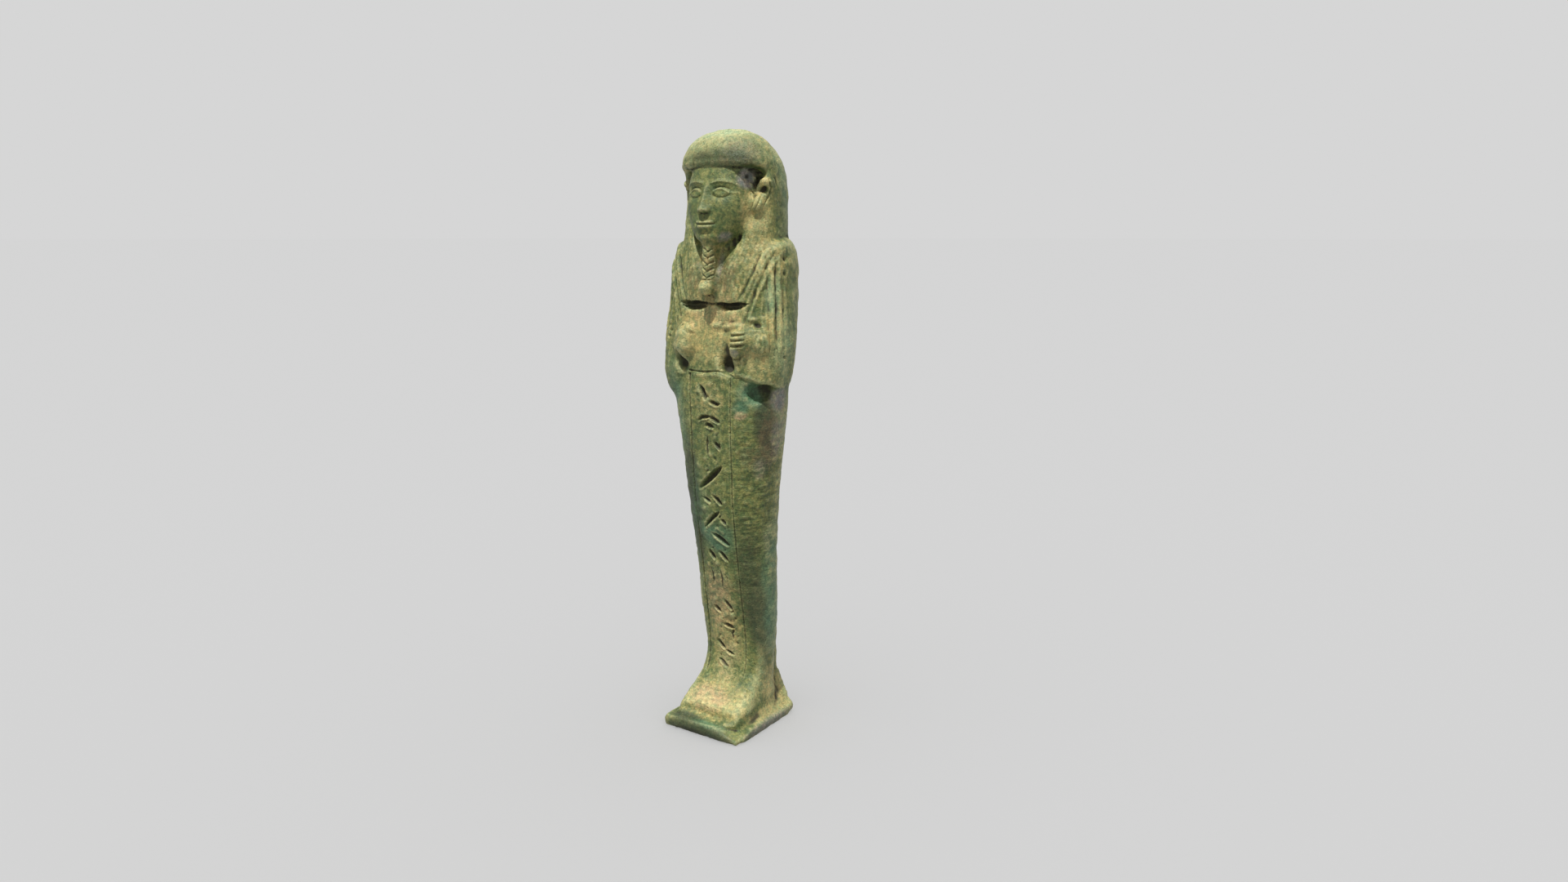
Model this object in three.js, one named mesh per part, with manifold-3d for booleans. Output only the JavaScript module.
// A mould-made faience ushabti: a mummiform figure with wig, plaited beard, folded arms and digging
// tools, made in one piece with its back pillar and its low base.
// Lengths are millimetres. +Z is up, the figure faces -Y, and the origin is on the underside, at the
// middle of the base.
import * as THREE from "three";
import { mergeVertices } from "three/addons/utils/BufferGeometryUtils.js";
import Module from "manifold-3d";

const wasm = await Module();
wasm.setup();

// Driving dimensions
const HEIGHT = 150;
const BASE = { width: 24, depth: 26.2, thick: 2.8, corner: 1.3, worn: 1.5, wornReach: 5 };
const PILLAR = { halfWidth: 6.5, footHalfWidth: 11.7, inside: 8.6, top: 114, flare: 14 };
const WIG_BAND = 141; // underside of the wig's edge across the forehead
const WIG_FACE = 0.8; // depth of the wig's front wall, beside the face
const CHIN = 122.8;
const ARMS_END = 92; // lower edge of the folded arms, where the text column starts
const LAPPET_END = 109.2;
const PANEL = { topHalf: 6.2, footHalf: 5.4, bottom: 12.5, lineWidth: 0.55, lineDepth: 0.4 };
const BEARD = { top: 123.6, bottom: 113.4, halfWidth: 1.8, knob: 1.8 };

// Outlines: each row is a height, then the half width, the front and the back of the section
// there, and how square its front half and its back half are.
const BODY = [
  [2.0, 10.0, -10.8, 11.6, 7, 3],
  [4.2, 10.0, -11.0, 11.6, 7, 3],
  [5.4, 9.9, -10.2, 11.6, 6.5, 3],
  [7.4, 9.7, -7.8, 11.6, 6, 2.8],
  [10.0, 9.3, -4.0, 11.6, 5, 2.6],
  [12.8, 9.1, -1.6, 11.6, 4.2, 2.4],
  [17, 9.3, -0.5, 11.7, 3.4, 2.3],
  [22, 9.9, -0.8, 11.7, 2.9, 2.2],
  [31, 10.5, -2.4, 11.8, 2.5, 2.4],
  [44, 10.6, -4.4, 11.8, 2.4, 2.3],
  [53, 11.1, -5.8, 11.9, 2.4, 2.4],
  [62, 12.0, -6.8, 12.1, 2.4, 2.4],
  [74, 13.6, -7.3, 12.1, 2.4, 2.4],
  [84, 15.0, -7.5, 11.8, 2.5, 2.4],
  [92, 15.2, -7.2, 11.8, 2.6, 2.4],
  [104, 14.6, -6.2, 12.0, 2.6, 2.4],
  [118, 13.0, -4.4, 12.3, 2.6, 2.4],
  [122, 10.0, -2.0, 12.0, 2.6, 2.4],
];
const ARMS = [
  [87.6, 12.5, -4.0, 8.0, 2.6, 2.6],
  [88.2, 15.2, -6.2, 9.0, 2.7, 2.7],
  [89.0, 16.6, -7.1, 9.5, 2.8, 2.8],
  [90.4, 17.2, -7.2, 9.7, 2.9, 2.9],
  [93, 17.6, -7.1, 9.9, 3, 3],
  [97, 17.7, -6.9, 10.2, 3, 3],
  [104, 17.2, -6.1, 11.4, 3, 3],
  [112, 16.6, -5.3, 12.6, 3, 3],
  [118, 16.5, -4.6, 12.9, 2.9, 2.9],
  [121.5, 15.8, -3.6, 12.7, 2.8, 2.8],
  [123.8, 14.4, -2.0, 12.2, 2.7, 2.7],
  [125.6, 11.4, 0.3, 11.2, 2.5, 2.5],
  [126.5, 8.6, 2.0, 9.8, 2.3, 2.3],
];
const WIG = [
  [110.5, 12.4, -4.5, 12.7, 3, 3],
  [118, 13.0, -5.0, 12.9, 2.4, 3],
  [126, 13.3, -5.4, 13.1, 2.4, 3],
  [134, 13.3, -5.8, 13.1, 2.4, 3],
  [139, 13.1, -6.0, 12.8, 2.5, 2.9],
  [142.5, 12.6, -6.1, 12.0, 2.5, 2.6],
  [145.0, 11.4, -5.5, 10.5, 2.3, 2.4],
  [147.2, 9.6, -4.2, 8.5, 2.2, 2.2],
  [148.9, 6.8, -1.8, 5.9, 2.1, 2.1],
  [HEIGHT, 2.6, 1.2, 3.2, 2, 2],
];

// Rows of plain strokes in the text column. A row is its height, then its strokes: from (x, z) to
// (x, z) about the row's middle, and their width and depth.
const STROKES = [
  [87, [-2.7, 2.0, -0.9, -1.6, 1.3, 0.8], [0.2, -1.7, 3.2, -2.1, 1.1, 0.6]],
  [80, [-3.5, 0.3, 0, 1.5, 1.0, 0.5], [0, 1.5, 3.3, 0.2, 1.0, 0.5], [-1.2, -0.9, 1.3, -1.1, 1.1, 0.6]],
  [74.2, [-0.6, 2.2, -0.5, -2.8, 0.7, 0.5], [1.4, 1.0, 3.0, -0.9, 1.0, 0.5]],
  [66.2, [3.2, 3.0, -3.7, -3.1, 1.6, 1.0]],
  [60.6, [0.3, 1.0, 2.8, -1.2, 1.1, 0.6], [-2.6, 0.2, -0.4, -0.9, 1.0, 0.5]],
  [55.2, [1.6, 2.0, -2.8, -2.2, 1.3, 0.8], [2.2, 0.4, 3.7, -1.0, 1.0, 0.5]],
  [50.2, [-0.8, 1.4, 3.8, -1.4, 1.2, 0.7]],
  [45.6, [-2.4, 1.0, -0.8, -1.2, 1.1, 0.6], [0.9, 1.2, 3.1, -1.2, 1.1, 0.6]],
  [39.4, [-2.6, 2.4, -2.5, -2.4, 0.7, 0.4], [0.4, 2.0, 0.5, -2.8, 0.7, 0.4]],
  [31.6, [0.6, 1.8, 2.8, -0.8, 1.2, 0.6], [-3.0, -0.6, -1.0, -2.0, 1.1, 0.6]],
  [25.6, [-0.6, 0.8, 2.4, 0.0, 1.1, 0.5], [2.3, -0.6, 2.1, -3.4, 0.7, 0.4]],
  [20.2, [-3.2, 1.0, -1.1, -1.2, 1.1, 0.6], [-0.6, -1.6, 2.0, -2.2, 0.9, 0.5]],
  [14.8, [-2.8, 1.2, 0.4, -0.4, 1.0, 0.4]],
];

// Half width of the face's oval, and the depth of its front at the middle, by height.
const FACE_OVAL = [
  [CHIN, 2.6, -6.8],
  [123.6, 4.6, -7.6],
  [125.5, 6.6, -7.9],
  [128.5, 8.1, -8.0],
  [132, 8.9, -7.8],
  [136, 8.8, -7.1],
  [142, 8.3, -5.4],
];
const FACE = { squareness: 2.5, eyeLine: 134.9, browLine: 137.4, noseBase: 130.4, mouthLine: 127.6 };

// Inner and outer edge of a lappet, and its front as a parabola: y = front + bend * x * x.
const LAPPET = [
  [LAPPET_END, 1.2, 10.0, -7.0, 0.018],
  [112, 1.9, 10.2, -6.9, 0.019],
  [115, 2.6, 10.6, -6.7, 0.022],
  [118.5, 4.0, 11.5, -6.3, 0.024],
  [123.5, 6.6, 12.8, -5.4, 0.03],
  [128, 8.5, 12.9, -4.2, 0.026],
  [133, 9.8, 12.9, -1.1, 0.0145],
];

// Smooth value of one column of a table at height z: a cubic through its rows.
function along(rows, z, column) {
  const last = rows.length - 1;
  if (z <= rows[0][0]) return rows[0][column];
  if (z >= rows[last][0]) return rows[last][column];
  let i = 0;
  while (z > rows[i + 1][0]) i++;
  const slope = (k) => {
    const below = rows[Math.max(k - 1, 0)];
    const above = rows[Math.min(k + 1, last)];
    return (above[column] - below[column]) / (above[0] - below[0]);
  };
  const step = rows[i + 1][0] - rows[i][0];
  const t = (z - rows[i][0]) / step;
  const t2 = t * t;
  const t3 = t2 * t;
  return (
    (2 * t3 - 3 * t2 + 1) * rows[i][column] +
    (t3 - 2 * t2 + t) * step * slope(i) +
    (3 * t2 - 2 * t3) * rows[i + 1][column] +
    (t3 - t2) * step * slope(i + 1)
  );
}

// Bell curve, 1 at 0 and nearly 0 past twice the width.
const bell = (distance, width) => Math.exp(-((distance / width) ** 2));

const signedPower = (v, power) => (Math.abs(v) < 1e-6 ? 0 : Math.sign(v) * Math.abs(v) ** power);

// Point of a rounded section at an angle about +Z, with its front towards -Y.
function sectionPoint(rows, z, angle) {
  const front = along(rows, z, 2);
  const back = along(rows, z, 3);
  const power = 2 / along(rows, z, Math.sin(angle) < 0 ? 4 : 5);
  return new THREE.Vector3(
    along(rows, z, 1) * signedPower(Math.cos(angle), power),
    (front + back) / 2 + ((back - front) / 2) * signedPower(Math.sin(angle), power),
    z,
  );
}

// Depth of a table's front at a place (x, z).
function frontOf(rows, x, z) {
  const front = along(rows, z, 2);
  const back = along(rows, z, 3);
  const n = along(rows, z, 4);
  const share = Math.min(Math.abs(x) / along(rows, z, 1), 1);
  return (front + back) / 2 - ((back - front) / 2) * (1 - share ** n) ** (1 / n);
}

// Depth of the figure's front below the wig, at a place (x, z).
function skinFront(x, z) {
  const body = frontOf(BODY, x, z);
  return z > ARMS[0][0] ? Math.min(body, frontOf(ARMS, x, z)) : body;
}

// A closed geometry as a solid that can be joined and cut.
function solid(geometry) {
  const bare = geometry.clone();
  bare.deleteAttribute("normal");
  bare.deleteAttribute("uv");
  const merged = mergeVertices(bare, 1e-4);
  return new wasm.Manifold(
    new wasm.Mesh({
      numProp: 3,
      vertProperties: new Float32Array(merged.attributes.position.array),
      triVerts: new Uint32Array(merged.index.array),
    }),
  );
}

// Moves every vertex of a geometry to where place(vertex) says.
function reshape(geometry, place) {
  const position = geometry.attributes.position;
  const vertex = new THREE.Vector3();
  for (let i = 0; i < position.count; i++) {
    vertex.fromBufferAttribute(position, i);
    const moved = place(vertex);
    position.setXYZ(i, moved.x, moved.y, moved.z);
  }
  return geometry;
}

// A closed skin through the sections of a table, with rings at the given heights.
function loft(rows, heights, around, adjust = (p) => p) {
  const rings = heights.length - 1;
  const tube = new THREE.CylinderGeometry(1, 1, rings, around, rings).rotateX(Math.PI / 2);
  return reshape(tube, (v) => {
    const z = heights[Math.round(v.z + rings / 2)];
    const middle = (along(rows, z, 2) + along(rows, z, 3)) / 2;
    if (Math.hypot(v.x, v.y) < 0.5) return new THREE.Vector3(0, middle, z);
    return adjust(sectionPoint(rows, z, Math.atan2(v.y, v.x)));
  });
}

// An ellipsoid at a place, turned about +Z.
function ellipsoid(centre, radii, turn = 0, across = 12, down = 8) {
  return new THREE.SphereGeometry(1, across, down)
    .rotateX(Math.PI / 2)
    .scale(...radii)
    .rotateZ(turn)
    .translate(...centre);
}

// The wrapped body, from the toes to the shoulders. The feet are the foot of this outline.
function body() {
  const heights = [
    ...[2, 4.2, 4.8, 5.6, 6.6, 7.8, 9, 10.4, 12, 14, 17, 20.5, 25, 31, 38, 46, 54, 62, 70],
    ...[78, 83, 86, 89, 92, 104, 118, 122],
  ];
  return loft(BODY, heights, 32);
}

// The folded arms under the cloth, up to the shoulders. Their lower edge falls from the text
// column to the elbows, the right one a little lower.
function arms() {
  const heights = [
    ...[87.6, 88.2, 89, 90.2, 92, 95, 99, 104, 109, 114, 118, 120.6, 122.4, 123.8, 125],
    ...[125.9, 126.5],
  ];
  const smoothstep = THREE.MathUtils.smoothstep;
  return loft(ARMS, heights, 32, (p) => {
    const side = smoothstep(Math.abs(p.x), 7.5, 16.5);
    const low = 1 - smoothstep(p.z, 88, 95);
    const tuck = p.x < 0 ? 0.9 * bell(p.z - 89.3, 1.3) : 0;
    p.z += 3.3 * (1 - side) * low - (p.x < 0 ? 3.8 * side * low : 0);
    p.x += tuck - 0.45 * bell(p.z - 91, 5);
    return p;
  });
}

// The base slab: a little worn at its front corner on the figure's left.
function base() {
  const { width, depth, thick, corner, worn, wornReach } = BASE;
  const slab = new THREE.BoxGeometry(2, 2, 1, 6, 6, 3);
  const edge = [0, 0.35, 1, 0.75];
  return reshape(slab, (v) => {
    const level = Math.round((v.z + 0.5) * 3);
    const inset = 0.06 * (1 - edge[level]) + (level === 3 ? 0.3 : 0);
    const spread = (s) => Math.sign(s) * Math.abs(s) ** 0.8;
    let x = spread(v.x) * (width / 2 - inset);
    let y = spread(v.y) * (depth / 2 - inset);
    const round = corner * 0.12 * (Math.abs(v.x) > 0.99 && Math.abs(v.y) > 0.99 ? 1 : 0);
    x -= Math.sign(v.x) * round;
    y -= Math.sign(v.y) * round;
    const wear = worn * bell(Math.hypot(x - width / 2, y + depth / 2), wornReach);
    return new THREE.Vector3(x, y, [0, 0.4, thick - 0.5 - wear, thick - wear][level]);
  });
}

// The pillar up the back, which spreads into the base.
function pillar() {
  const back = BASE.depth / 2;
  const post = new THREE.BoxGeometry(2, 1, 1, 4, 2, 9);
  return reshape(post, (v) => {
    const z = THREE.MathUtils.lerp(1, PILLAR.top, (v.z + 0.5) ** 1.6);
    const low = Math.min(1, Math.max(0, (PILLAR.flare - z) / (PILLAR.flare - 2.7))) ** 1.85;
    const spread = (PILLAR.footHalfWidth - PILLAR.halfWidth) * low * (0.5 + 0.5 * (v.y + 0.5));
    const half = PILLAR.halfWidth + spread;
    const y = THREE.MathUtils.lerp(PILLAR.inside - 3.6 * low, back - 0.05, v.y + 0.5);
    const rounded = 0.35 * Math.abs(v.x) ** 6 * (v.y > 0.4 ? 1 : 0);
    return new THREE.Vector3(v.x * half, y - rounded, z);
  });
}

// The wig, from the crown to its back edge on the pillar, with the face's opening cut away.
function wig() {
  const heights = [110.5, 118, 126, 133, 138.5, 141.5, 143.8, 145.6, 147.1, 148.3, 149.2, HEIGHT];
  const opening = new THREE.BoxGeometry(2, 3, 2, 10, 3, 2);
  const cutter = reshape(opening, (v) => {
    const step = Math.round(v.y + 1.5);
    const wall = WIG_FACE + 0.7 * (1 - Math.abs(v.x) ** 2);
    const top = WIG_BAND - [0, 0, 0.5, 2.2][step];
    return new THREE.Vector3(v.x * 15, [-14, -3, -1, wall][step], [100, 120, top][Math.round(v.z) + 1]);
  });
  return solid(loft(WIG, heights, 28)).subtract(solid(cutter));
}

// The face: a calm mask on plain proportions.
function face() {
  const mask = new THREE.BoxGeometry(2, 2, 1, 15, 1, 20);
  return reshape(mask, (v) => {
    const z = THREE.MathUtils.lerp(CHIN, WIG_BAND + 0.6, v.z + 0.5);
    const p = facePoint(v.x * THREE.MathUtils.degToRad(90), z);
    if (v.y > 0) p.y = 4;
    return p;
  });
}

// The face's front at a place on its oval: turn runs from -90 to 90 degrees across it.
function facePoint(turn, z) {
  const half = along(FACE_OVAL, z, 1);
  const front = along(FACE_OVAL, z, 2);
  const power = 2 / FACE.squareness;
  const x = half * signedPower(Math.sin(turn), power);
  const side = Math.abs(x);
  let y = 1.4 - (1.4 - front) * Math.abs(Math.cos(turn)) ** power;
  const { eyeLine, browLine, noseBase, mouthLine } = FACE;
  const noseRun = THREE.MathUtils.clamp((z - noseBase) / (eyeLine - noseBase), 0, 1);
  const noseWidth = 1.6 - 0.7 * noseRun;
  const underNose = THREE.MathUtils.smoothstep(z, noseBase - 0.6, noseBase + 0.3);
  const aboveNose = 1 - THREE.MathUtils.smoothstep(z, eyeLine, browLine + 0.4);
  y -= (1.7 - 0.9 * noseRun) * bell(side, noseWidth) * underNose * aboveNose;
  y += 0.9 * bell(side - 3.7, 2.2) * bell(z - eyeLine, 1.5);
  y -= 0.8 * bell(side - 3.7, 1.4) * bell(z - eyeLine + 0.1, 0.8);
  y -= 0.35 * bell(z - browLine - 0.1, 0.6) * bell(side - 3.8, 3.2);
  y -= 0.6 * bell(side, 2.3) * bell(z - mouthLine - 0.8, 0.6);
  y -= 0.55 * bell(side, 2.0) * bell(z - mouthLine + 0.8, 0.65);
  y += 0.3 * bell(side, 2.6) * bell(z - mouthLine, 0.35);
  y -= 0.5 * bell(side, 2.2) * bell(z - CHIN - 1.9, 1.2);
  return new THREE.Vector3(x, y, z);
}

// One ear, on the side that sign says: it leans out at the top, and the right one lies flatter.
function ear(sign) {
  const turn = sign * THREE.MathUtils.degToRad(34);
  const back = sign < 0 ? 0.9 : 0;
  const at = (x, y, z) => [sign * (x - 0.7 * back), y + back, z];
  const shell = solid(ellipsoid(at(11.3, 0.7, 135), [2.2 - 0.4 * back, 1.2, 3.5], turn, 10, 6));
  const rim = solid(ellipsoid(at(12.1, 0.2, 137.1), [1.6 - 0.4 * back, 1.3, 1.3], turn, 10, 6));
  const lobe = solid(ellipsoid(at(10.2, -0.6, 132.1), [1.7 - 0.3 * back, 1.5, 2.6], turn, 10, 6));
  const cup = solid(ellipsoid(at(11.3, -0.9, 135.3), [1.6, 1.3, 0.95], turn, 10, 6));
  return shell.add(rim).add(lobe).subtract(cup);
}

// The hollow between the temple, the ear and the wig's edge.
function temple(sign) {
  return ellipsoid([sign * 9.3, -0.1, 138], [1.5, 2.6, 2.5], 0, 10, 8);
}

// One of the wig's two front lappets.
function lappet(sign) {
  const band = new THREE.BoxGeometry(1, 1, 1, 5, 1, 8);
  const high = LAPPET[LAPPET.length - 1][0];
  return reshape(band, (v) => {
    const z = THREE.MathUtils.lerp(LAPPET_END, high, v.z + 0.5);
    const share = sign > 0 ? v.x + 0.5 : 0.5 - v.x;
    const x = THREE.MathUtils.lerp(along(LAPPET, z, 1), along(LAPPET, z, 2), share);
    const rounded = 0.5 * Math.abs(2 * share - 1) ** 5;
    const front = along(LAPPET, z, 3) + along(LAPPET, z, 4) * x * x + rounded;
    return new THREE.Vector3(sign * x, v.y < 0 ? front : 4, z);
  });
}

// The throat between the lappets.
function throat() {
  const rows = [
    [107, 6.0, -4.6, 4, 2.2, 2.2],
    [118, 6.2, -4.0, 4, 2.2, 2.2],
    [126, 6.4, -3.6, 4, 2.2, 2.2],
  ];
  return loft(rows, [107, 113, 119, 126], 16);
}

// The plaited beard, which leans a little forward, and the knob at its end.
function beard() {
  const { top, bottom, halfWidth, knob } = BEARD;
  const strand = new THREE.BoxGeometry(2, 1, 1, 4, 1, 6);
  const bar = reshape(strand, (v) => {
    const z = THREE.MathUtils.lerp(bottom, top, v.z + 0.5);
    const lean = (top - z) / (top - bottom);
    const front = -7.5 - 0.9 * lean + 0.7 * v.x * v.x;
    return new THREE.Vector3(v.x * halfWidth, v.y < 0 ? front : -2, z);
  });
  return solid(bar).add(solid(ellipsoid([0, -7.4, 112.7], [knob, 1.7, knob], 0, 12, 6)));
}

// The figure's right fist: a rounded mass with the thumb across its top.
function rightFist() {
  const mass = ellipsoid([-7.5, -5.9, 98.8], [4.0, 2.6, 5.1], 0, 10, 8);
  const thumb = ellipsoid([-6.8, -7.0, 102.3], [2.6, 1.5, 1.4], 0, 10, 6);
  return solid(mass).add(solid(thumb));
}

// The figure's left fist: four fingers in a stack, closed on the tool.
function leftFist() {
  const at = { x: 9.3, y: -6.0, z: 100.4 };
  const pitch = 1.25;
  let hand = solid(ellipsoid([at.x + 2, at.y + 1.2, at.z - 0.4], [4.8, 2.3, 3.8], 0, 10, 8));
  for (let finger = 0; finger < 4; finger++) {
    const z = at.z + (1.5 - finger) * pitch;
    const bar = ellipsoid([at.x - 0.3, at.y - 0.5, z], [2.5, 1.6, 0.75], 0, 8, 6);
    hand = hand.add(solid(bar));
  }
  const handleEnd = ellipsoid([at.x - 1.2, at.y - 0.3, at.z - 3.2], [1.3, 1.4, 1.1], 0, 8, 6);
  return hand.add(solid(handleEnd));
}

// A flat bar laid on the front of the figure through places (x, z), raised by lift.
function laidBar(places, halfWidth, lift, pieces) {
  const path = new THREE.CatmullRomCurve3(places.map(([x, z]) => new THREE.Vector3(x, 0, z)));
  const bar = new THREE.BoxGeometry(1, 1, 2, pieces, 1, 2);
  return solid(
    reshape(bar, (v) => {
      const t = v.x + 0.5;
      const at = path.getPoint(t);
      const way = path.getTangent(t);
      const x = at.x - way.z * v.z * halfWidth;
      const z = at.z + way.x * v.z * halfWidth;
      const crown = lift * (v.z === 0 ? 1 : 0.35) * (t < 0.01 || t > 0.99 ? 0.1 : 1);
      return new THREE.Vector3(x, skinFront(x, z) + (v.y > 0 ? 2 : -crown), z);
    }),
  );
}

// The handle of the digging tool on one side, from the fist to the shoulder.
function handle(sign) {
  const places = [
    [9.9, 101.5],
    [11.3, 108],
    [12.8, 115],
    [13.9, 121],
  ];
  return laidBar(places.map(([x, z]) => [sign * x, z]), 0.85, 0.6, 6);
}

// The fold along the front of each sleeve.
function sleeve(sign) {
  const places = [
    [15.0, 96],
    [15.3, 104],
    [15.1, 112],
    [14.7, 119],
  ];
  return laidBar(places.map(([x, z]) => [sign * x, z]), 0.6, 0.5, 6);
}

// The seed bag that hangs behind the left shoulder.
function seedBag() {
  const turn = THREE.MathUtils.degToRad(35);
  const at = sectionPoint(ARMS, 110, turn);
  return solid(ellipsoid([at.x - 0.7, at.y - 0.5, at.z], [1.2, 3.4, 4.8], turn));
}

// Hollows: the slot under the lappets, and the pocket under each fist.
function hollows() {
  return [
    ellipsoid([-5.3, -6.0, 108.3], [4.4, 2.0, 0.95], 0, 12, 6),
    ellipsoid([5.5, -6.0, 108.3], [4.6, 2.0, 0.95], 0, 12, 6),
    ellipsoid([5.3, -8.0, 94.6], [1.7, 2.2, 2.6], 0, 10, 6),
    ellipsoid([-7.9, -8.3, 93.9], [1.7, 1.9, 2.0], 0, 10, 6),
  ].map(solid);
}

// The hollow in the body under the left elbow.
function underElbow() {
  return ellipsoid([13.4, -3.7, 88.4], [3.9, 2.6, 2.5], 0.65, 12, 8);
}

// A cutter that follows the figure's front along a straight line, as deep as depth.
function groove(from, to, width, depth, pieces) {
  const [x0, z0] = from;
  const [x1, z1] = to;
  const length = Math.hypot(x1 - x0, z1 - z0);
  const across = [-(z1 - z0) / length, (x1 - x0) / length];
  const bar = new THREE.BoxGeometry(1, 1, 2, pieces, 1, 2);
  return solid(
    reshape(bar, (v) => {
      const t = v.x + 0.5;
      const taper = 1 - 0.55 * Math.abs(2 * t - 1) ** 3;
      const side = v.z * 0.5 * width * taper;
      const x = x0 + (x1 - x0) * t + across[0] * side;
      const z = z0 + (z1 - z0) * t + across[1] * side;
      const keel = depth * taper * (1 - 0.6 * Math.abs(v.z));
      return new THREE.Vector3(x, skinFront(x, z) + (v.y > 0 ? keel : -1.6), z);
    }),
  );
}

// The frame of the text column.
function frameCuts() {
  const { topHalf, footHalf, bottom, lineWidth, lineDepth } = PANEL;
  const top = ARMS_END;
  return [
    groove([-topHalf, top], [topHalf, top], 0.7, 0.55, 4),
    groove([-footHalf, bottom], [-topHalf, top], lineWidth, lineDepth, 7),
    groove([footHalf, bottom], [topHalf, top], lineWidth, lineDepth, 7),
  ];
}

// The strokes of the text column.
function strokeCuts() {
  return STROKES.flatMap(([middle, ...strokes]) =>
    strokes.map(([x0, z0, x1, z1, width, depth]) =>
      groove([x0, middle + z0], [x1, middle + z1], width, depth, 1),
    ),
  );
}

// The whole figure as one solid.
function figure() {
  const join = (made, pieces) => pieces.reduce((sum, piece) => sum.add(piece), made);
  const cut = (made, pieces) => pieces.reduce((rest, piece) => rest.subtract(piece), made);
  const both = (make) => [make(-1), make(1)];
  const trunk = solid(body()).subtract(solid(underElbow()));
  const head = cut(join(wig(), [solid(face())]), both(temple).map(solid));
  const made = join(trunk, [
    head,
    ...[arms(), base(), pillar(), throat(), ...both(lappet)].map(solid),
    ...[beard(), seedBag(), rightFist(), leftFist()],
    ...both(ear),
    ...both(handle),
    ...both(sleeve),
  ]);
  return cut(made, [...hollows(), ...frameCuts(), ...strokeCuts()]);
}

// A solid back as a three.js geometry.
function geometryOf(made) {
  const mesh = made.getMesh();
  return new THREE.BufferGeometry()
    .setAttribute("position", new THREE.BufferAttribute(new Float32Array(mesh.vertProperties), 3))
    .setIndex(new THREE.BufferAttribute(new Uint32Array(mesh.triVerts), 1));
}

const faience = new THREE.MeshStandardMaterial({
  color: new THREE.Color(0.36, 0.39, 0.24),
  roughness: 0.55,
  metalness: 0,
});
const geometry = geometryOf(figure());
geometry.computeVertexNormals();
const ushabti = new THREE.Mesh(geometry, faience);
ushabti.name = "ushabti";

const part = new THREE.Group();
part.add(ushabti);
export default part;
